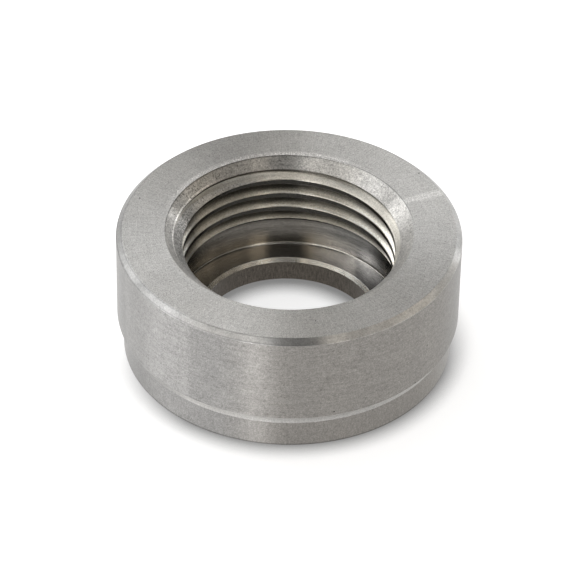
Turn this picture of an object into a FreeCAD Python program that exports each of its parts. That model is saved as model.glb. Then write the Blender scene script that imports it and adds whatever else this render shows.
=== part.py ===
import FreeCAD, Part
import math
import os

# A weld-on sensor bung turned from steel bar as one ring.
# Millimetres, +Z up, origin at the middle of the bottom face.
# The thread is M20 x 1.5, and its plain wall here is the bore it is cut in.

# Body
wall_outside_thread = 5.0  # between the thread and the outside
height = 12.0  # overall
top_edge_chamfer = 0.5  # at 45 degrees

# Weld spigot, the slightly smaller lower end
spigot_step = 0.55  # from the body's wall in to the spigot's
shoulder_height = 3.5  # where the full diameter begins
shoulder_cove_radius = 1.5  # of the hollow that sweeps out from the spigot

# Threaded stretch
thread_diameter = 20.0
thread_pitch = 1.5
mouth_clearance = 0.8  # of the countersink's edge outside the thread
mouth_angle = 45.0  # of the countersink, from the axis, in degrees
thread_foot = 6.15  # height of the thread's lower end

# Runout groove under the thread
groove_clearance = 0.15  # of the groove's wall behind the thread's root
groove_exit_angle = 45.0  # of the cone from the thread to the groove, from the axis
groove_corner_radius = 0.2  # between the wall and the seat

# Seat and lower bore
seat_height = 2.55
lower_bore_step = 1.5  # from the thread's bore in to the lower bore
seat_edge_chamfer = 0.3  # at 45 degrees
bottom_edge_chamfer = 0.35  # at 45 degrees


def point(radius, z):
    """A point of the half section, on the +X side."""
    return FreeCAD.Vector(radius, 0, z)


def straight_runs(points):
    """Edges from each point to the next."""
    return [Part.LineSegment(a, b).toShape() for a, b in zip(points, points[1:])]


def arc(centre, radius, start, end):
    """Arc about the centre, with its angles in radians from +X."""
    angles = [start, (start + end) / 2, end]
    turned = [centre + point(radius * math.cos(a), radius * math.sin(a)) for a in angles]
    return Part.Arc(*turned).toShape()


def mouth_radius():
    """Of the countersink's edge on the top face."""
    return thread_diameter / 2 + mouth_clearance


def thread_bore_radius():
    """Of the hole that a tap of this size needs."""
    return (thread_diameter - thread_pitch) / 2


def lower_bore_radius():
    return thread_bore_radius() - lower_bore_step


def outside():
    """From the bottom face out round the spigot and shoulder to the countersink's edge."""
    bottom_edge = point(lower_bore_radius() + bottom_edge_chamfer, 0)
    body_radius = thread_diameter / 2 + wall_outside_thread
    spigot_radius = body_radius - spigot_step

    # The cove leaves the spigot's wall in line with it
    sweep = math.acos(1 - spigot_step / shoulder_cove_radius)
    cove_foot = shoulder_height - shoulder_cove_radius * math.sin(sweep)
    cove_centre = point(spigot_radius + shoulder_cove_radius, cove_foot)

    below = [bottom_edge, point(spigot_radius, 0), point(spigot_radius, cove_foot)]
    cove = arc(cove_centre, shoulder_cove_radius, math.pi, math.pi - sweep)
    above = [
        point(body_radius, shoulder_height),
        point(body_radius, height - top_edge_chamfer),
        point(body_radius - top_edge_chamfer, height),
        point(mouth_radius(), height),
    ]
    return straight_runs(below) + [cove] + straight_runs(above)


def inside():
    """From the countersink's edge down the bore to the bottom face."""
    thread_wall = thread_bore_radius()
    groove_wall = thread_diameter / 2 + groove_clearance
    bore_wall = lower_bore_radius()

    mouth_depth = (mouth_radius() - thread_wall) / math.tan(math.radians(mouth_angle))
    exit_depth = (groove_wall - thread_wall) / math.tan(math.radians(groove_exit_angle))
    corner_centre = point(groove_wall - groove_corner_radius, seat_height + groove_corner_radius)

    thread_and_groove = [
        point(mouth_radius(), height),
        point(thread_wall, height - mouth_depth),
        point(thread_wall, thread_foot),
        point(groove_wall, thread_foot - exit_depth),
        point(groove_wall, corner_centre.z),
    ]
    corner = arc(corner_centre, groove_corner_radius, 0, -math.pi / 2)
    seat_and_bore = [
        point(corner_centre.x, seat_height),
        point(bore_wall + seat_edge_chamfer, seat_height),
        point(bore_wall, seat_height - seat_edge_chamfer),
        point(bore_wall, bottom_edge_chamfer),
        point(bore_wall + bottom_edge_chamfer, 0),
    ]
    return straight_runs(thread_and_groove) + [corner] + straight_runs(seat_and_bore)


def bung():
    """The ring: its half section turned once about Z."""
    half_section = Part.Face(Part.Wire(outside() + inside()))
    axis_foot = FreeCAD.Vector(0, 0, 0)
    up = FreeCAD.Vector(0, 0, 1)
    return half_section.revolve(axis_foot, up, 360)


os.makedirs("parts", exist_ok=True)
ring = bung()
print("bung: valid", ring.isValid(), "solids", len(ring.Solids), "volume", round(ring.Volume, 1))
ring.exportStep("parts/bung.step")
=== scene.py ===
import math
import bpy
from mathutils import Matrix, Vector


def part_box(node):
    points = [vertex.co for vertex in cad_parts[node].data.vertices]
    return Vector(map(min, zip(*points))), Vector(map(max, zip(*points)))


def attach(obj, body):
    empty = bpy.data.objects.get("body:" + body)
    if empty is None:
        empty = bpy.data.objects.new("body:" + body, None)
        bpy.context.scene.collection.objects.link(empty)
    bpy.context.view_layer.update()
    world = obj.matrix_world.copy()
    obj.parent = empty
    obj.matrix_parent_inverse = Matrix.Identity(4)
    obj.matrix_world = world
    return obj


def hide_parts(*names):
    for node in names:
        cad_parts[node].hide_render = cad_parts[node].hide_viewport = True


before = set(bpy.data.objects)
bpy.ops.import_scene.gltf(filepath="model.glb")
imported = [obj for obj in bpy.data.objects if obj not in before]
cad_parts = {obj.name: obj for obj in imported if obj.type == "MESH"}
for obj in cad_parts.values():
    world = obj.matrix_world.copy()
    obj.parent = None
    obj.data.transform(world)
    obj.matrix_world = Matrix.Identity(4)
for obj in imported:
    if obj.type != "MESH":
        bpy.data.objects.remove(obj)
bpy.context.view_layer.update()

mm = 0.001
ringLow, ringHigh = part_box("bung")
bodyRadius = (ringHigh[0] - ringLow[0]) / 2
ringHeight = ringHigh[2] - ringLow[2]
print("frame loaded, ring", round(bodyRadius * 2000, 2), "x", round(ringHeight * 1000, 2), "mm")


# Small helpers for working as by hand

def startFresh():
    if bpy.context.object and bpy.context.object.mode != "OBJECT":
        bpy.ops.object.mode_set(mode="OBJECT")
    bpy.ops.object.select_all(action="DESELECT")


def makeActive(piece):
    startFresh()
    piece.select_set(True)
    bpy.context.view_layer.objects.active = piece


def applyModifier(piece, name):
    makeActive(piece)
    bpy.ops.object.modifier_apply(modifier=name)


def tidyMesh(joinWithin):
    # in edit mode: joins what lies together and turns every face outwards
    bpy.ops.mesh.select_all(action="SELECT")
    bpy.ops.mesh.remove_doubles(threshold=joinWithin)
    bpy.ops.mesh.select_all(action="SELECT")
    bpy.ops.mesh.normals_make_consistent(inside=False)
    bpy.ops.object.mode_set(mode="OBJECT")


# The ring, turned: one loop of edges is extruded all the way round the half section

ring = dict(
    name="bungTurned",
    steps=360,                # edges in each loop
    topChamfer=0.5 * mm,
    spigotStep=0.55 * mm,     # from the body's wall in to the spigot's
    shoulder=3.5 * mm,        # height where the full diameter begins
    coveRadius=1.5 * mm,
    mouthRadius=10.8 * mm,
    threadBore=9.25 * mm,
    threadFoot=6.15 * mm,
    grooveRadius=10.15 * mm,
    grooveCorner=0.2 * mm,
    seat=2.55 * mm,
    lowerBore=7.75 * mm,
    seatChamfer=0.3 * mm,
    bottomChamfer=0.35 * mm,
    arcSteps=8,
    edgeBreak=0.05 * mm,      # the slight round on the outer edges
    innerBreak=0.035 * mm,    # and on the edges at the seat and bore
    breakSteps=3,
    joinWithin=0.001 * mm,    # points this close together become one
    crispAbove=24,            # degrees between faces, above which an edge stays crisp
)


def arcPoints(centre, radius, start, sweep, steps):
    turns = [start + sweep * i / steps for i in range(steps + 1)]
    return [Vector((centre[0] + radius * math.cos(a), centre[1] + radius * math.sin(a))) for a in turns]


def brokenCorner(before, corner, after, radius, steps):
    # a small round, with a loop close by on each side that keeps the faces beside it flat
    toBefore = (before - corner).normalized()
    toAfter = (after - corner).normalized()
    half = toBefore.angle(toAfter) / 2
    reach = radius / math.tan(half)
    centre = corner + (toBefore + toAfter).normalized() * radius / math.sin(half)
    first = corner + toBefore * reach - centre
    last = corner + toAfter * reach - centre
    start = math.atan2(first.y, first.x)
    sweep = math.remainder(math.atan2(last.y, last.x) - start, math.tau)
    arc = arcPoints(centre, radius, start, sweep, steps)
    return [corner + toBefore * reach * 2] + arc + [corner + toAfter * reach * 2]


def halfSection(cfg):
    # radius and height of each loop, from the bore's lower edge out, up, over the top and down inside
    spigot = bodyRadius - cfg["spigotStep"]
    sweep = math.acos(1 - cfg["spigotStep"] / cfg["coveRadius"])
    coveFoot = cfg["shoulder"] - cfg["coveRadius"] * math.sin(sweep)
    mouthDepth = cfg["mouthRadius"] - cfg["threadBore"]
    exitDepth = cfg["grooveRadius"] - cfg["threadBore"]
    corner = cfg["grooveCorner"]
    groovePoint = (cfg["grooveRadius"] - corner, cfg["seat"] + corner)
    coveCentre = (spigot + cfg["coveRadius"], coveFoot)
    cove = arcPoints(coveCentre, cfg["coveRadius"], math.pi, -sweep, cfg["arcSteps"])
    fillet = arcPoints(groovePoint, corner, 0, -math.pi / 2, cfg["arcSteps"])
    outer, inner = cfg["edgeBreak"], cfg["innerBreak"]

    # each entry is a point and how far its edge is rounded
    path = [((cfg["lowerBore"] + cfg["bottomChamfer"], 0), inner), ((spigot, 0), outer)]
    path += [((spigot, coveFoot - 2 * corner), 0)] + [(p, 0) for p in cove[:-1]] + [(cove[-1], inner)]
    path += [((bodyRadius, ringHeight - cfg["topChamfer"]), outer)]
    path += [((bodyRadius - cfg["topChamfer"], ringHeight), outer)]
    path += [((cfg["mouthRadius"], ringHeight), outer)]
    path += [((cfg["threadBore"], ringHeight - mouthDepth), 0)]
    path += [((cfg["threadBore"], cfg["threadFoot"]), 0)]
    path += [((cfg["grooveRadius"], cfg["threadFoot"] - exitDepth), 0)]
    path += [((cfg["grooveRadius"], groovePoint[1] + corner / 2), 0)] + [(p, 0) for p in fillet]
    path += [((groovePoint[0] - corner / 2, cfg["seat"]), 0)]
    path += [((cfg["lowerBore"] + cfg["seatChamfer"], cfg["seat"]), inner)]
    path += [((cfg["lowerBore"], cfg["seat"] - cfg["seatChamfer"]), inner)]
    path += [((cfg["lowerBore"], cfg["bottomChamfer"]), inner)]

    points = [Vector(p) for p, _ in path]
    loops = []
    for i, (_, edge) in enumerate(path):
        if edge:
            after = points[(i + 1) % len(points)]
            loops += brokenCorner(points[i - 1], points[i], after, edge, cfg["breakSteps"])
        else:
            loops.append(points[i])
    return loops


def turnBlank(cfg):
    loops = halfSection(cfg)
    startFresh()
    radius, height = loops[0]
    bpy.ops.mesh.primitive_circle_add(vertices=cfg["steps"], radius=radius, location=(0, 0, 0))
    blank = bpy.context.object
    blank.name = cfg["name"]
    bpy.ops.object.mode_set(mode="EDIT")
    bpy.ops.mesh.select_all(action="SELECT")
    bpy.ops.transform.translate(value=(0, 0, height))
    for nextRadius, nextHeight in loops[1:] + loops[:1]:
        bpy.ops.mesh.extrude_edges_move(TRANSFORM_OT_translate=dict(value=(0, 0, nextHeight - height)))
        grow = nextRadius / radius
        bpy.ops.transform.resize(value=(grow, grow, 1), center_override=(0, 0, nextHeight))
        radius, height = nextRadius, nextHeight
    tidyMesh(cfg["joinWithin"])
    print("ring turned,", len(blank.data.polygons), "faces")
    return blank


# The thread, cut by a tooth that is carried round and up, right-hand

thread = dict(
    pitch=1.5 * mm,
    rootRadius=10.0 * mm,
    rootFlat=0.1875 * mm,
    flankSlope=math.tan(math.radians(30)),
    toothBack=8.9 * mm,       # radius of the tooth's inner face, clear of the wall
    crestBreak=0.04 * mm,     # slight bevel that is left on the crests
    crestBreakSlope=1.7,
    grooveHeight=7.56 * mm,   # middle of a groove on the +X side
    turnsBelow=2,             # whole turns that the tooth starts below that
    turns=6,
    stepsPerTurn=240,
    toothJoin=0.001 * mm,     # points of the tooth this close together become one
    cutJoin=0.0005 * mm,      # and points of the ring once it is cut
)


def toothOutline(cfg, wall):
    # radius and height about the tooth's middle
    rootHalf = cfg["rootFlat"] / 2
    edgeHalf = rootHalf + (cfg["rootRadius"] - wall - cfg["crestBreak"]) * cfg["flankSlope"]
    wideHalf = edgeHalf + cfg["crestBreak"] * cfg["crestBreakSlope"]
    upper = [(cfg["rootRadius"], rootHalf), (wall + cfg["crestBreak"], edgeHalf)]
    upper += [(wall, wideHalf), (cfg["toothBack"], wideHalf)]
    return upper + [(radius, -height) for radius, height in reversed(upper)]


def makeTooth(cfg, wall):
    outline = toothOutline(cfg, wall)
    startFresh()
    bpy.ops.mesh.primitive_circle_add(vertices=len(outline), radius=mm, location=(0, 0, 0))
    tooth = bpy.context.object
    start = cfg["grooveHeight"] - cfg["turnsBelow"] * cfg["pitch"]
    for vertex, (radius, height) in zip(tooth.data.vertices, outline):
        vertex.co = (radius, 0, start + height)
    carry = tooth.modifiers.new("carry", "SCREW")
    carry.axis = "Z"
    carry.angle = math.tau
    carry.iterations = cfg["turns"]
    carry.screw_offset = cfg["pitch"]
    carry.steps = cfg["stepsPerTurn"]
    carry.render_steps = cfg["stepsPerTurn"]
    applyModifier(tooth, "carry")
    bpy.ops.object.mode_set(mode="EDIT")
    bpy.ops.mesh.select_all(action="SELECT")
    bpy.ops.mesh.fill_holes(sides=len(outline))
    tidyMesh(cfg["toothJoin"])
    return tooth


def cutThread(blank, cfg, wall):
    tooth = makeTooth(cfg, wall)
    cut = blank.modifiers.new("thread", "BOOLEAN")
    cut.operation = "DIFFERENCE"
    cut.solver = "EXACT"
    cut.object = tooth
    applyModifier(blank, "thread")
    bpy.data.objects.remove(tooth, do_unlink=True)
    bpy.ops.object.mode_set(mode="EDIT")
    tidyMesh(cfg["cutJoin"])
    print("thread cut,", len(blank.data.polygons), "faces")


bung = turnBlank(ring)
cutThread(bung, thread, ring["threadBore"])
makeActive(bung)
bpy.ops.object.shade_smooth_by_angle(angle=math.radians(ring["crispAbove"]))


# Node helpers

solidShare = 0.5              # the inner share of a spot's or a line's reach, before it fades


def addNode(tree, kind, sockets=None, **settings):
    node = tree.nodes.new("ShaderNode" + kind)
    for name, value in settings.items():
        setattr(node, name, value)
    for name, value in (sockets or {}).items():
        if isinstance(value, bpy.types.NodeSocket):
            tree.links.new(value, node.inputs[name])
        else:
            node.inputs[name].default_value = value
    return node


def maths(tree, operation, first, second=0.0):
    return addNode(tree, "Math", {0: first, 1: second}, operation=operation).outputs[0]


def product(tree, *factors):
    total = factors[0]
    for factor in factors[1:]:
        total = maths(tree, "MULTIPLY", total, factor)
    return total


def ramp(tree, value, low, high, outLow=0.0, outHigh=1.0):
    # a straight ramp between two levels, flat outside them
    sockets = {"Value": value, "From Min": low, "From Max": high, "To Min": outLow, "To Max": outHigh}
    return addNode(tree, "MapRange", sockets, clamp=True).outputs["Result"]


def tint(tree, amount, tone):
    # a factor that goes from 1 to the tone as the amount goes from 0 to 1
    return ramp(tree, amount, 0, 1, 1, tone)


def tinted(tree, cfg, **marks):
    # the factors of several marks together, each with the tone of its own name
    return product(tree, *[tint(tree, amount, cfg[name + "Tone"]) for name, amount in marks.items()])


def band(tree, value, middle, half):
    # 1 within a narrow band of values, soft at its sides
    away = maths(tree, "ABSOLUTE", maths(tree, "SUBTRACT", value, middle))
    return ramp(tree, away, half, half * solidShare)


def noise(tree, vector, scale, detail=2.0):
    # most of it lies from 0.3 to 0.7, and here that becomes -1 to 1
    sockets = {"Vector": vector, "Scale": scale, "Detail": detail, "Roughness": 0.6}
    return ramp(tree, addNode(tree, "TexNoise", sockets).outputs["Fac"], 0.3, 0.7, -1, 1)


def turnedPlace(tree):
    # where a point is on a turned piece: its radius, its height, and which way round it lies
    place = addNode(tree, "TexCoord").outputs["Object"]
    axes = addNode(tree, "SeparateXYZ", {0: place}).outputs
    flat = addNode(tree, "CombineXYZ", {0: axes["X"], 1: axes["Y"]}).outputs[0]
    radius = addNode(tree, "VectorMath", {0: flat}, operation="LENGTH").outputs["Value"]
    around = addNode(tree, "VectorMath", {0: flat}, operation="NORMALIZE").outputs["Vector"]
    return dict(place=place, height=axes["Z"], radius=radius, around=around)


def toolMarks(tree, where, length, width, radiusShare=0.8):
    # noise drawn out round the axis
    # a share of the radius is added to the height, so that the marks cross flats, walls and cones
    across = maths(tree, "ADD", maths(tree, "MULTIPLY", where["radius"], radiusShare), where["height"])
    across = addNode(tree, "CombineXYZ", {2: maths(tree, "DIVIDE", across, width)}).outputs[0]
    drawnOut = {0: where["around"], "Scale": bodyRadius / length}
    around = addNode(tree, "VectorMath", drawnOut, operation="SCALE").outputs[0]
    vector = addNode(tree, "VectorMath", {0: around, 1: across}, operation="ADD").outputs[0]
    return noise(tree, vector, scale=1.0, detail=1.0)


def facing(tree, where, azimuth, low, high):
    # 1 on the side of the ring that lies towards the azimuth, falling to 0 away from it
    turn = math.radians(azimuth)
    sockets = {0: where["around"], 1: (math.cos(turn), math.sin(turn), 0)}
    towards = addNode(tree, "VectorMath", sockets, operation="DOT_PRODUCT").outputs["Value"]
    return ramp(tree, towards, low, high)


def pitMask(tree, where, spacing, size, share):
    # small round spots, in only a share of the cells
    cells = addNode(tree, "TexVoronoi", {"Vector": where["place"], "Scale": 1 / spacing})
    picked = addNode(tree, "SeparateColor", {0: cells.outputs["Color"]}).outputs["Red"]
    reach = size / spacing
    near = ramp(tree, cells.outputs["Distance"], reach, reach * solidShare)
    return product(tree, near, maths(tree, "LESS_THAN", picked, share))


def singleSpot(tree, where, radius, azimuth, height, size):
    # one round spot at a known place, in millimetres and degrees
    turn = math.radians(azimuth)
    middle = (radius * mm * math.cos(turn), radius * mm * math.sin(turn), height * mm)
    away = addNode(tree, "VectorMath", {0: where["place"], 1: middle}, operation="DISTANCE").outputs["Value"]
    return ramp(tree, away, size * mm, size * mm * solidShare)


# Turned steel: tool marks round the axis, a fine grain, mottling, faint patches, pits and bright nicks

steelBase = dict(
    colour=(0.42, 0.417, 0.409),
    sideColour=None,          # another colour on one side, a painted reflection of warmer or cooler light, where a finish has one
    sideAt=(45, 0.82, 0.96),  # that side's azimuth, and how near to it the colour starts and is full
    roughness=0.34,
    roughnessSpread=0.02,
    anisotropy=0.9,
    shineTurn=0.25,           # of a whole turn, from the way round the axis
    markLength=2.2 * mm,
    markWidth=0.12 * mm,
    markTone=0.08,
    rayLength=0.14 * mm,      # faint streaks across the tool marks
    rayWidth=1.1 * mm,
    rayTone=0,
    grain=0.11 * mm,
    grainTone=0.24,
    mottle=0.3 * mm,
    mottleTone=0.07,
    patch=1.6 * mm,
    patchDetail=4.0,
    patchTone=0.035,
    bumpDepth=0.0012 * mm,
    bumpGrain=0.7,            # what the grain and the pits count for beside the tool marks
    bumpPits=8,
    pitSpacing=2.2 * mm,
    pitSize=0.09 * mm,
    pitShare=0.08,
    pitTone=0.25,
    pitsAt=(),                # single pits: radius, azimuth, height and size, in mm and degrees
    nickSpacing=0.8 * mm,
    nickSize=0.05 * mm,
    nickShare=0.2,
    nickTone=1.6,
    sides=(),                 # sides with another tone, painted light and shade for how light and reflections fall: azimuth, how near it starts and is full, tone
    levels=(),                # painted light and shade by radius or height: where it starts and ends, and the tone at each
    special=None,             # marks that only this finish has
)


def steel(name, cfg):
    mat = bpy.data.materials.new(name)
    mat.use_nodes = True
    tree = mat.node_tree
    shader = tree.nodes["Principled BSDF"]
    where = turnedPlace(tree)
    marks = toolMarks(tree, where, cfg["markLength"], cfg["markWidth"])
    grain = noise(tree, where["place"], 1 / cfg["grain"])
    mottle = noise(tree, where["place"], 1 / cfg["mottle"])
    patch = noise(tree, where["place"], 1 / cfg["patch"], cfg["patchDetail"])
    pits = pitMask(tree, where, cfg["pitSpacing"], cfg["pitSize"], cfg["pitShare"])
    nicks = pitMask(tree, where, cfg["nickSpacing"], cfg["nickSize"], cfg["nickShare"])
    for seenPit in cfg["pitsAt"]:
        pits = maths(tree, "MAXIMUM", pits, singleSpot(tree, where, *seenPit))

    patterns = [(marks, "markTone"), (grain, "grainTone"), (mottle, "mottleTone"), (patch, "patchTone")]
    if cfg["rayTone"]:
        patterns.append((toolMarks(tree, where, cfg["rayLength"], cfg["rayWidth"]), "rayTone"))
    tone = 1.0
    for pattern, strength in patterns:
        tone = maths(tree, "ADD", tone, maths(tree, "MULTIPLY", pattern, cfg[strength]))
    tone = product(tree, tone, tint(tree, nicks, cfg["nickTone"]), tint(tree, pits, cfg["pitTone"]))
    if cfg["special"]:
        tone = product(tree, tone, cfg["special"](tree, where, grain))
    # painted light and shade: each side and level makes the tone lighter or darker where light and
    # reflections fall
    for azimuth, low, high, sideTone in cfg["sides"]:
        tone = product(tree, tone, tint(tree, facing(tree, where, azimuth, low, high), sideTone))
    for measure, *spread in cfg["levels"]:
        tone = product(tree, tone, ramp(tree, where[measure], *spread))

    colour = cfg["colour"]
    if cfg["sideColour"]:
        change = [side - base for side, base in zip(cfg["sideColour"], colour)]
        sockets = {0: change, 1: facing(tree, where, *cfg["sideAt"]), 2: colour}
        colour = addNode(tree, "VectorMath", sockets, operation="MULTIPLY_ADD").outputs[0]
    colour = addNode(tree, "VectorMath", {0: colour, "Scale": tone}, operation="SCALE").outputs[0]
    tree.links.new(colour, shader.inputs["Base Color"])

    roughness = maths(tree, "MULTIPLY_ADD", patch, cfg["roughnessSpread"])
    roughness.node.inputs[2].default_value = cfg["roughness"]
    tree.links.new(roughness, shader.inputs["Roughness"])
    shader.inputs["Metallic"].default_value = 1
    shader.inputs["Anisotropic"].default_value = cfg["anisotropy"]
    shader.inputs["Anisotropic Rotation"].default_value = cfg["shineTurn"]
    tangent = addNode(tree, "Tangent", direction_type="RADIAL", axis="Z")
    tree.links.new(tangent.outputs["Tangent"], shader.inputs["Tangent"])

    height = maths(tree, "ADD", marks, maths(tree, "MULTIPLY", grain, cfg["bumpGrain"]))
    height = maths(tree, "SUBTRACT", height, maths(tree, "MULTIPLY", pits, cfg["bumpPits"]))
    bump = addNode(tree, "Bump", {"Height": height, "Distance": cfg["bumpDepth"], "Strength": 1.0})
    tree.links.new(bump.outputs["Normal"], shader.inputs["Normal"])
    return mat


# Marks that only one finish has, each a factor on its tone
# A side is its azimuth, and how near to it a mark starts and is full

faceWearAndHighlight = dict(
    burrFrom=0.6 * mm,        # bright specks, measured outwards from the countersink's edge
    burrFull=0.3 * mm,
    burrSpeck=0.09 * mm,
    burrPicked=(-0.3, 0.6),
    burrSide=(108, 0.5, 0.85),
    burrTone=1.9,
    rimAt=0.09 * mm,          # a thin dark line outside the countersink's edge
    rimHalf=0.07 * mm,
    rimPicked=(-0.8, 0.2),
    rimSide=(48, 0.75, 0.95),
    rimTone=0.5,
    outerWidth=0.09 * mm,     # a thin dark outer rim
    outerSide=(100, 0.2, 0.5),
    outerTone=0.6,
    # the streak is a painted highlight, a narrow bright band across the face
    streakPicked=(-1, 0.4, 0.4, 1),
    streakSide=(23.7, 0.9992, 0.9999),
    streakTone=1.3,
)


def faceMarks(tree, where, grain):
    # bright specks along the countersink's edge at the back, a thin dark line at the right,
    # a painted highlight streak at the right and a thin dark outer rim
    cfg = faceWearAndHighlight
    edge = ring["mouthRadius"]
    outside = bodyRadius - ring["topChamfer"]
    specks = noise(tree, where["place"], 1 / cfg["burrSpeck"], 1.0)
    burr = product(tree, ramp(tree, where["radius"], edge + cfg["burrFrom"], edge + cfg["burrFull"]),
                   ramp(tree, specks, *cfg["burrPicked"]), facing(tree, where, *cfg["burrSide"]))
    rim = product(tree, band(tree, where["radius"], edge + cfg["rimAt"], cfg["rimHalf"]),
                  ramp(tree, grain, *cfg["rimPicked"]), facing(tree, where, *cfg["rimSide"]))
    outer = product(tree, ramp(tree, where["radius"], outside - cfg["outerWidth"], outside),
                    facing(tree, where, *cfg["outerSide"]))
    # painted highlight: a narrow radial streak of light across the top face
    streak = product(tree, facing(tree, where, *cfg["streakSide"]), ramp(tree, grain, *cfg["streakPicked"]))
    return tinted(tree, cfg, burr=burr, rim=rim, outer=outer, streak=streak)


mouthWear = dict(
    fleck=0.16 * mm,
    tornPicked=(0.2, 0.8),
    tornSide=(152, 0.6, 0.9),
    tornTone=0.55,
    rimFrom=0.11 * mm,        # a dark line, measured inwards from the countersink's edge
    rimFull=0.05 * mm,
    rimSide=(125, 0.3, 0.7),
    rimTone=0.45,
    burrRadius=10.08 * mm,
    burrHalf=0.07 * mm,
    burrSide=(166, 0.8, 0.95),
    burrTone=1.9,
    scrapeRadii=(10.06 * mm, 9.98 * mm),
    scrapeGrain=0.13 * mm,
    scrapePicked=(-0.6, 0.4),
    scrapeSide=(182, 0.8, 0.95),
    scrapeTone=0.55,
    spotPicked=(0.55, 0.9),
    spotSide=(90, -0.2, 0.4),
    spotTone=0.6,
)


def roughMouth(tree, where, grain):
    # the left of the countersink is torn: flecks, a bright burr and a scrape along the thread,
    # and a dark line under the rim; dark spots lie all over it but at the front
    cfg = mouthWear
    edge = ring["mouthRadius"]
    flecks = noise(tree, where["place"], 1 / cfg["fleck"])
    torn = product(tree, ramp(tree, flecks, *cfg["tornPicked"]), facing(tree, where, *cfg["tornSide"]))
    rim = product(tree, ramp(tree, where["radius"], edge - cfg["rimFrom"], edge - cfg["rimFull"]),
                  facing(tree, where, *cfg["rimSide"]))
    burr = product(tree, band(tree, where["radius"], cfg["burrRadius"], cfg["burrHalf"]),
                   facing(tree, where, *cfg["burrSide"]))
    scraped = noise(tree, where["place"], 1 / cfg["scrapeGrain"])
    scraped = product(tree, ramp(tree, where["radius"], *cfg["scrapeRadii"]),
                      facing(tree, where, *cfg["scrapeSide"]), ramp(tree, scraped, *cfg["scrapePicked"]))
    spots = product(tree, ramp(tree, flecks, *cfg["spotPicked"]), facing(tree, where, *cfg["spotSide"]))
    return tinted(tree, cfg, torn=torn, rim=rim, burr=burr, scrape=scraped, spot=spots)


edgeWear = dict(
    upperAt=0.05 * mm,        # out from the top face's end
    lowerAt=0.04 * mm,        # in from the wall
    lineHalf=0.06 * mm,
    lineSide=(215, 0.4, 0.7),
    lineTone=0.75,
)


def edgeMarks(tree, where, grain):
    # fine dark lines along the top and the foot of the outer edge
    cfg = edgeWear
    top = bodyRadius - ring["topChamfer"]
    upper = band(tree, where["radius"], top + cfg["upperAt"], cfg["lineHalf"])
    lower = band(tree, where["radius"], bodyRadius - cfg["lowerAt"], cfg["lineHalf"])
    lines = product(tree, maths(tree, "ADD", upper, lower), facing(tree, where, *cfg["lineSide"]))
    return tinted(tree, cfg, line=lines)


grooveShadeLook = dict(
    reach=1.2 * mm,
    samples=8,
    openSide=(30, 0.3, 0.9),  # lighter towards this side, by this much openness
    openGain=0.09,
    deep=(0.53, 0.67, 0.22, 1.0),   # openness from and to, and the tone at each
    shallow=(0.84, 0.96, 1.0, 0.58),
)


def grooveShade(tree, where, grain):
    # painted shade: the depth of the thread's grooves is darkened where little light reaches, and so are the
    # outermost of the flanks
    cfg = grooveShadeLook
    openness = addNode(tree, "AmbientOcclusion", {"Distance": cfg["reach"]}, samples=cfg["samples"])
    cleaner = product(tree, facing(tree, where, *cfg["openSide"]), cfg["openGain"])
    openness = maths(tree, "ADD", openness.outputs["AO"], cleaner)
    return product(tree, ramp(tree, openness, *cfg["deep"]), ramp(tree, openness, *cfg["shallow"]))


grooveLightPaint = dict(
    cleanSide=(50, 0.87, 0.96),
    cleanHeights=(4.3 * mm, 3.7 * mm),
    cleanTone=1.6,
    dullSide=(120, 0.7, 0.85),
    dullHeights=(3.8 * mm, 4.3 * mm),
    dullTone=0.74,
)


def paintGrooveLight(tree, where, grain):
    # painted light and shade: the groove is lighter low down at the right, and darker high up at the left
    cfg = grooveLightPaint
    clean = product(tree, facing(tree, where, *cfg["cleanSide"]),
                    ramp(tree, where["height"], *cfg["cleanHeights"]))
    dull = product(tree, facing(tree, where, *cfg["dullSide"]),
                   ramp(tree, where["height"], *cfg["dullHeights"]))
    return tinted(tree, cfg, clean=clean, dull=dull)


# each finish is the one turned steel with its own colour and tones; most of these are painted light and
# shade, faces made lighter or darker for how light and reflections fall on them
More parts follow.
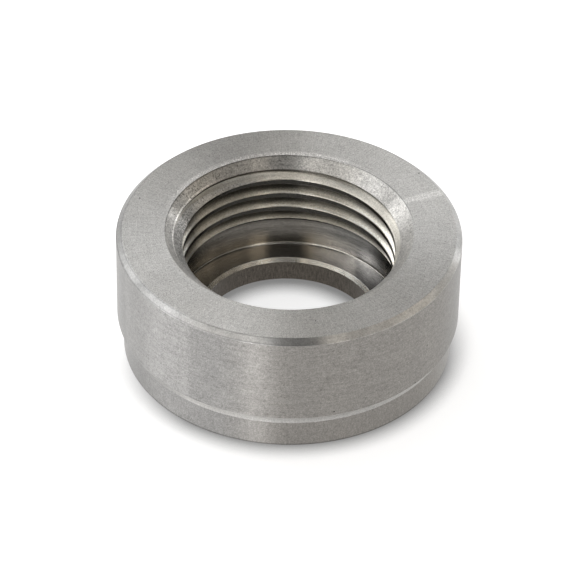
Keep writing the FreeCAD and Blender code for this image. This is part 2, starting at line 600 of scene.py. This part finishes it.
finishesAndPaintedLight = dict(
    # painted shade: the top face is darker towards the back, at azimuth 117
    topFace=dict(markTone=0.05, rayTone=0.07, grainTone=0.31, mottleTone=0.08,
                 pitsAt=[(13.76, 162.6, 12.0, 0.11), (14.16, 36.8, 12.0, 0.1)],
                 sides=[(117, 0.94, 0.995, 0.9)], special=faceMarks),
    # painted light and shade: the chamfer is darker at the left and brighter at the right front
    topEdge=dict(colour=(0.43, 0.427, 0.42), grainTone=0.18, mottleTone=0.1,
                 sides=[(168, 0.75, 0.95, 0.8), (303, 0.9, 0.975, 1.5)], special=edgeMarks),
    # painted light and shade: a lighter band at the left, darker at the right front and the right; the
    # warmer colour at the right front is a painted warm reflection
    outerWall=dict(colour=(0.298, 0.293, 0.287), sideColour=(0.304, 0.291, 0.274), sideAt=(300, 0.6, 0.85),
                   markTone=0.08, mottleTone=0.12, patchTone=0.06,
                   sides=[(219, 0.949, 0.958, 1.14), (300, 0.77, 0.87, 0.92), (355, 0.86, 0.98, 0.82)],
                   pitsAt=[(15, 323.0, 6.89, 0.1), (15, 317.6, 3.6, 0.09),
                           (15, 285.9, 3.88, 0.1), (15, 281.3, 6.52, 0.08)]),
    # painted reflection: the cove is brighter than the wall for the floor that it mirrors, and darker at the
    # left and the right
    cove=dict(colour=(0.51, 0.5, 0.485), sides=[(214, 0.93, 0.985, 0.66), (300, 0.82, 0.93, 0.88)]),
    # painted shade: darker at the right front, with a dark line at its foot where it meets the floor; its
    # warmer colour at the right front is a painted warm reflection
    spigot=dict(colour=(0.292, 0.287, 0.281), sideColour=(0.3, 0.286, 0.268), sideAt=(300, 0.6, 0.85),
                markLength=0.16 * mm, markWidth=0.5 * mm,
                sides=[(300, 0.77, 0.87, 0.9)],
                levels=[("height", 0.07 * mm, 0.17 * mm, 0.5, 1.0)]),
    mouth=dict(colour=(0.49, 0.48, 0.461), grainTone=0.36, mottleTone=0.2,
               pitsAt=[(9.97, 167, 11.17, 0.13)], special=roughMouth),
    # painted light and shade: the flank is bright for the light it reflects, darker at the right, lighter
    # towards its inner edge and lower down, and grooveShade paints shade in the grooves' depth
    threadFlank=dict(colour=(0.575, 0.55, 0.495), special=grooveShade,
                     sides=[(5, 0.9, 0.99, 0.72)],
                     levels=[("radius", 9.65 * mm, 9.32 * mm, 1.0, 1.5),
                             ("height", 9.6 * mm, 8.4 * mm, 1.0, 1.25)]),
    # painted shade: the roots are dark for the shade and unlit reflection in them
    threadRoot=dict(colour=(0.2, 0.192, 0.178)),
    # painted shade: the crests are near black for the dark that they reflect
    threadCrest=dict(colour=(0.052, 0.05, 0.045), roughness=0.28),
    # painted light and shade: darker at the right end and at the top under the thread, lighter low down; its
    # less warm colour at the right is a painted reflection
    groove=dict(colour=(0.3, 0.28, 0.25), sideColour=(0.29, 0.283, 0.268), roughness=0.22,
                markTone=0.18, markWidth=0.09 * mm, markLength=5 * mm, special=paintGrooveLight,
                sides=[(20, 0.905, 0.966, 0.4)],
                levels=[("height", 3.2 * mm, 4.3 * mm, 1.5, 0.85),
                        ("height", 4.9 * mm, 5.15 * mm, 1.0, 0.6)]),
    # painted highlight: the fillet is nearly white for the bright line that it reflects, darker at the left
    fillet=dict(colour=(0.92, 0.9, 0.85), roughness=0.2, grainTone=0.1, nickShare=0, bumpDepth=0.0004 * mm,
                sides=[(140, 0.8, 0.97, 0.4)]),
    # painted highlight: the seat is brighter at the right, where its neutral colour is a painted reflection
    # too
    seat=dict(colour=(0.48, 0.465, 0.435), sideColour=(0.475, 0.47, 0.475), roughness=0.2,
              markTone=0.1, markLength=3 * mm, sides=[(40, 0.94, 0.99, 1.8)]),
    # painted highlight: the bore's upper chamfer is nearly white for the bright reflection along it, darker
    # at the left
    boreEdge=dict(colour=(1.0, 0.955, 0.87), roughness=0.26, grainTone=0.06, mottleTone=0.03, nickShare=0,
                  bumpDepth=0.0003 * mm, sides=[(135, 0.965, 0.995, 0.45)]),
    # painted shade: the lower bore is made dark
    bore=dict(colour=(0.099, 0.087, 0.074), markLength=0.16 * mm, markWidth=0.6 * mm, markTone=0.25),
    underside=dict(markTone=0.07),
)


# How a face is told by its middle and the way that it faces

faceTest = dict(
    near=0.02 * mm,           # how far from a height or radius a middle still counts as on it
    nearFoot=0.03 * mm,
    nearCone=0.06 * mm,
    level=0.8,                # least upward share of the top face
    outward=0.2,              # least outward share of the outside
    slanted=0.6,              # least upward and inward share of the countersink
    steep=0.3,                # most upward share of a wall
    coveLean=-0.06,
    coveFoot=3,               # lowest point of the cove, in widths of the edge's round
    crestShare=0.8,           # of the crest's bevel
)


def finishAndPaintedLightAt(centre, normal, cfg):
    radius = math.hypot(centre.x, centre.y)
    outwards = (normal.x * centre.x + normal.y * centre.y) / radius
    threadEnd = ring["threadFoot"] - (ring["grooveRadius"] - ring["threadBore"])
    if centre.z > ringHeight - cfg["near"] and normal.z > cfg["level"]:
        return "topFace"
    if outwards > cfg["outward"]:
        if centre.z > ringHeight - ring["topChamfer"] - cfg["near"]:
            return "topEdge"
        if centre.z > ring["shoulder"]:
            return "outerWall"
        inCove = normal.z < cfg["coveLean"] and centre.z > ring["edgeBreak"] * cfg["coveFoot"]
        return "cove" if inCove else "spigot"
    if centre.z < cfg["nearFoot"]:
        return "underside"
    if centre.z > threadEnd:
        onCone = abs(centre.z - ringHeight + ring["mouthRadius"] - radius) < cfg["nearCone"]
        if onCone and normal.z > cfg["slanted"] and outwards < -cfg["slanted"]:
            return "mouth"
        # the downward faces of the crests' bevels take the crest's painted shade
        if normal.z < -cfg["slanted"] and centre.z < ring["threadFoot"]:
            return "threadCrest"
        if radius > thread["rootRadius"] - cfg["near"] and abs(normal.z) < cfg["steep"]:
            return "threadRoot"
        crestRadius = ring["threadBore"] + thread["crestBreak"] * cfg["crestShare"]
        return "threadCrest" if radius < crestRadius and normal.z < cfg["steep"] else "threadFlank"
    if centre.z > ring["seat"] + ring["grooveCorner"]:
        return "groove"
    if radius > ring["grooveRadius"] - ring["grooveCorner"]:
        return "fillet"
    if radius > ring["lowerBore"] + ring["seatChamfer"]:
        return "seat"
    return "boreEdge" if normal.z > cfg["steep"] else "bore"


def dress(piece):
    names = list(finishesAndPaintedLight)
    piece.data.materials.clear()
    for name in names:
        fullName = "turnedSteel" + name[0].upper() + name[1:]
        piece.data.materials.append(steel(fullName, {**steelBase, **finishesAndPaintedLight[name]}))
    for face in piece.data.polygons:
        face.material_index = names.index(finishAndPaintedLightAt(face.center, face.normal, faceTest))
    print("finishes laid on,", len(names))


dress(bung)
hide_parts("bung")
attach(bung, "root")


# Floor: white, with the shadow kept close to the ring

floorLook = dict(
    size=3.0,
    colour=0.45,
    roughness=0.9,
    specular=0.1,
    glow=0.74,                      # added for what looks at it, so that it shows white
    contactReach=2.4 * mm,          # how far the darkest of the shadow spreads
    contactSamples=16,
    contactOpenness=(0.97, 0.5),    # where it starts and is full
    contactSide=(288, -0.28, 0.6),  # outside the ring it lies in front
    contactTone=0.29,
)


def makeFloor(cfg):
    startFresh()
    bpy.ops.mesh.primitive_plane_add(size=cfg["size"], location=(0, 0, 0))
    floor = bpy.context.object
    floor.name = "paleFloor"
    mat = bpy.data.materials.new("paleFloor")
    mat.use_nodes = True
    tree = mat.node_tree
    shader = tree.nodes["Principled BSDF"]
    openness = addNode(tree, "AmbientOcclusion", {"Distance": cfg["contactReach"]},
                       samples=cfg["contactSamples"]).outputs["AO"]
    # all round inside the hole, and in front outside it
    where = turnedPlace(tree)
    held = maths(tree, "MAXIMUM", maths(tree, "LESS_THAN", where["radius"], ring["mouthRadius"]),
                 facing(tree, where, *cfg["contactSide"]))
    contact = product(tree, held, ramp(tree, openness, *cfg["contactOpenness"]))
    shade = tint(tree, contact, cfg["contactTone"])
    path = addNode(tree, "LightPath").outputs
    # only the camera sees the contact shadow; lamps and steel see an even floor
    seen = addNode(tree, "Mix", {"Factor": path["Is Camera Ray"], "A": 1.0, "B": shade}).outputs["Result"]
    grey = (cfg["colour"],) * 3
    colour = addNode(tree, "VectorMath", {0: grey, "Scale": seen}, operation="SCALE").outputs[0]
    tree.links.new(colour, shader.inputs["Base Color"])
    shader.inputs["Roughness"].default_value = cfg["roughness"]
    shader.inputs["Specular IOR Level"].default_value = cfg["specular"]
    looked = maths(tree, "MAXIMUM", path["Is Camera Ray"], path["Is Glossy Ray"])
    looked = maths(tree, "MAXIMUM", looked, path["Is Transmission Ray"])
    glow = product(tree, looked, seen, cfg["glow"])
    shader.inputs["Emission Color"].default_value = (1, 1, 1, 1)
    tree.links.new(glow, shader.inputs["Emission Strength"])
    floor.data.materials.append(mat)


makeFloor(floorLook)


# Camera, as the photograph was taken: a long lens from in front and above

shot = dict(
    lens=221.7,
    distance=319.3 * mm,
    elevation=39.94,
    roll=1.19,
    aim=(0.39 * mm, 2.48 * mm, 3.02 * mm),
    sensor=36,
    nearest=0.01,
    farthest=20,
)


def placeCamera(cfg):
    camera = bpy.data.objects.new("camera", bpy.data.cameras.new("camera"))
    bpy.context.scene.collection.objects.link(camera)
    camera.data.lens = cfg["lens"]
    camera.data.sensor_width = cfg["sensor"]
    camera.data.clip_start = cfg["nearest"]
    camera.data.clip_end = cfg["farthest"]
    tilt = math.radians(cfg["elevation"])
    stand = Vector((0, -math.cos(tilt), math.sin(tilt))) * cfg["distance"]
    turn = (Vector(cfg["aim"]) - stand).to_track_quat("-Z", "Y").to_matrix().to_4x4()
    roll = Matrix.Rotation(math.radians(cfg["roll"]), 4, "Z")
    camera.matrix_world = Matrix.Translation(stand) @ turn @ roll
    bpy.context.scene.camera = camera


placeCamera(shot)
print("floor and camera set")


# Lights: soft boxes round the ring, each as wide and tall in degrees as the ring sees it

boxDistance = 0.6
worldGlow = 0.05
paleTint = (1.0, 0.96, 0.9)
warmTint = (1.0, 0.9, 0.76)
softBoxes = dict(
    rightLow=dict(azimuth=22, elevation=10, width=30, height=20, brightness=1.2, tint=paleTint),
    rightLine=dict(azimuth=40, elevation=10, width=4, height=22, brightness=4.5),
    backRightLow=dict(azimuth=55, elevation=8, width=22, height=16, brightness=1.2),
    backLow=dict(azimuth=90, elevation=10, width=45, height=20, brightness=1.0),
    backLowLeft=dict(azimuth=120, elevation=10, width=15, height=20, brightness=0.9),
    backLeftLow=dict(azimuth=141, elevation=9, width=24, height=16, brightness=0.7),
    streak=dict(azimuth=157, elevation=18, width=4, height=26, brightness=1.5),
    leftLow=dict(azimuth=195, elevation=10, width=45, height=20, brightness=4.7),
    leftStreak=dict(azimuth=192, elevation=4, width=14, height=12, brightness=4.5),
    leftFrontLow=dict(azimuth=232, elevation=10, width=30, height=20, brightness=2.6),
    frontEdge=dict(azimuth=255, elevation=10, width=15, height=20, brightness=5.4),
    frontStreak=dict(azimuth=251, elevation=4, width=12, height=12, brightness=9.0),
    right=dict(azimuth=7, elevation=30, width=27, height=20, brightness=0.9, tint=warmTint),
    backRight=dict(azimuth=68, elevation=30, width=26, height=20, brightness=1.5),
    back=dict(azimuth=112, elevation=30, width=26, height=20, brightness=1.3),
    backLeft=dict(azimuth=142, elevation=30, width=26, height=20, brightness=3.3),
    left=dict(azimuth=172, elevation=30, width=26, height=20, brightness=0.2),
    leftFront=dict(azimuth=225, elevation=30, width=40, height=20, brightness=2.05, tint=paleTint),
    frontStrip=dict(azimuth=250, elevation=30, width=6, height=44, brightness=0.7, tint=warmTint),
    rightFrontEdge=dict(azimuth=300, elevation=30, width=13, height=20, brightness=1.7, tint=warmTint),
    rightFront=dict(azimuth=330, elevation=30, width=40, height=20, brightness=0.8, tint=warmTint),
    backRightHigh=dict(azimuth=60, elevation=50, width=13, height=20, brightness=1.0),
    backHigh=dict(azimuth=90, elevation=50, width=26, height=20, brightness=1.1, tint=paleTint),
    backLeftHigh=dict(azimuth=130, elevation=50, width=26, height=20, brightness=2.0),
    leftHigh=dict(azimuth=172, elevation=50, width=26, height=20, brightness=1.3),
    overBack=dict(azimuth=120, elevation=70, width=14, height=20, brightness=4.7),
    overRight=dict(azimuth=40, elevation=70, width=14, height=20, brightness=2.2),
    overFront=dict(azimuth=320, elevation=70, width=14, height=20, brightness=0.6, tint=paleTint),
    overhead=dict(azimuth=270, elevation=88, width=18, height=18, brightness=2.1, tint=paleTint),
)


def hangBox(name, cfg):
    lamp = bpy.data.objects.new(name, bpy.data.lights.new(name, "AREA"))
    bpy.context.scene.collection.objects.link(lamp)
    lamp.data.shape = "RECTANGLE"
    lamp.data.size = 2 * boxDistance * math.tan(math.radians(cfg["width"] / 2))
    lamp.data.size_y = 2 * boxDistance * math.tan(math.radians(cfg["height"] / 2))
    lamp.data.energy = cfg["brightness"] * math.pi * lamp.data.size * lamp.data.size_y
    lamp.data.color = cfg.get("tint", (1, 1, 1))
    turn, rise = math.radians(cfg["azimuth"]), math.radians(cfg["elevation"])
    direction = Vector((math.cos(turn) * math.cos(rise), math.sin(turn) * math.cos(rise), math.sin(rise)))
    place = direction * boxDistance
    lamp.location = place
    lamp.rotation_euler = (-place).to_track_quat("-Z", "Y").to_euler()


for name, cfg in softBoxes.items():
    hangBox(name, cfg)

world = bpy.data.worlds.new("studio")
bpy.context.scene.world = world
world.use_nodes = True
sky = world.node_tree.nodes["Background"]
sky.inputs["Color"].default_value = (1, 1, 1, 1)
sky.inputs["Strength"].default_value = worldGlow
print("lights hung,", len(softBoxes))

bpy.context.scene.view_settings.view_transform = "Standard"
